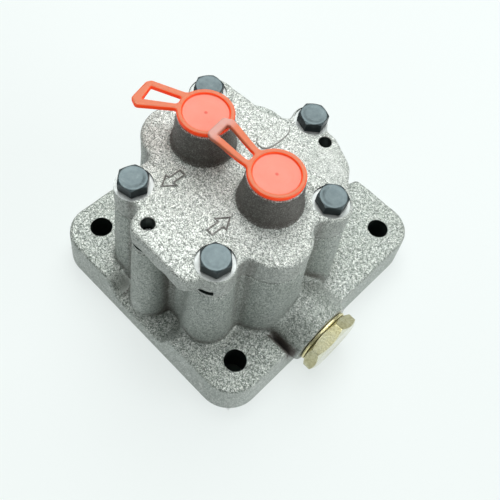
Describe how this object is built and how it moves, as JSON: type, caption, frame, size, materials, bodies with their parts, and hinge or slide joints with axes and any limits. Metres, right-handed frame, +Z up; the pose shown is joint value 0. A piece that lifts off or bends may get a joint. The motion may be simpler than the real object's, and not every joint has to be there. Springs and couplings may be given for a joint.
{
  "type": "gear pump",
  "caption": "Flange-mounted hydraulic gear pump with a cast-iron body and cover, two upright ports under red pull caps and a side relief valve with a hex plug.",
  "frame": {"origin": "bottom centre of the bounding box, on the underside of the flange", "axes": "+Z up along the drive shaft and the ports, +X towards the relief valve plug, +Y away from the pair of cover bolts that face the camera"},
  "size_m": [0.146, 0.1496, 0.1096],
  "materials": {
    "bolt_steel": "oiled blue-grey",
    "cast_iron_body": "as cast, bead blasted",
    "cast_iron_cover": "as cast, bead blasted",
    "black_rubber": "matt",
    "bush_bronze": "machined",
    "spring_steel": "oiled",
    "shaft_steel": "ground",
    "gear_steel": "ground",
    "key_steel": "drawn",
    "yellow_zinc": "yellow zinc plate",
    "sealing_washer": "plain",
    "red_plastic": "moulded"
  },
  "bodies": {
    "pump": {"pump_body": "cast_iron_body", "pump_cover": "cast_iron_cover", "cover_seal": "black_rubber", "drive_bush_body": "bush_bronze", "idler_bush_body": "bush_bronze", "drive_bush_cover": "bush_bronze", "idler_bush_cover": "bush_bronze", "shaft_seal": "black_rubber", "seal_snap_ring": "spring_steel", "relief_plug": "yellow_zinc", "relief_washer": "sealing_washer", "relief_spring": "spring_steel", "cover_bolt_1": "bolt_steel", "cover_bolt_2": "bolt_steel", "cover_bolt_3": "bolt_steel", "cover_bolt_4": "bolt_steel", "cover_bolt_5": "bolt_steel", "dowel_pin_1": "key_steel", "dowel_pin_2": "key_steel"},
    "drive_rotor": {"drive_shaft": "shaft_steel", "drive_gear": "gear_steel", "drive_key": "key_steel", "drive_coupling": "key_steel", "coupling_pin": "spring_steel"},
    "idler_rotor": {"idler_shaft": "shaft_steel", "idler_gear": "gear_steel", "idler_key": "key_steel"},
    "relief_valve": {"relief_piston": "shaft_steel"},
    "cap_1": {"port_cap_1": "red_plastic"},
    "cap_2": {"port_cap_2": "red_plastic"}
  },
  "joints": [
    {"name": "drive_spin", "type": "hinge", "parent": "pump", "child": "drive_rotor", "pos_m": [-0.00605, 0, 0.04], "axis": [0, 0, 1], "continuous": true},
    {"name": "idler_spin", "type": "hinge", "parent": "pump", "child": "idler_rotor", "pos_m": [-0.00605, -0.0264, 0.04], "axis": [0, 0, 1], "continuous": true},
    {"name": "relief_lift", "type": "slide", "parent": "pump", "child": "relief_valve", "axis": [1, 0, 0], "range_m": [0, 0.0075], "stiffness_N_per_m": 2500, "springref_m": -0.008, "deforming": ["relief_spring"]},
    {"name": "cap_1_pull", "type": "slide", "parent": "pump", "child": "cap_1", "axis": [0, 0, 1], "range_m": [0, 0.03]},
    {"name": "cap_2_pull", "type": "slide", "parent": "cap_1", "child": "cap_2", "axis": [0, 0, 1], "range_m": [0, 0.03]}
  ],
  "couplings": [
    {"joint": "idler_spin", "follows": "drive_spin", "ratio": -1}
  ]
}
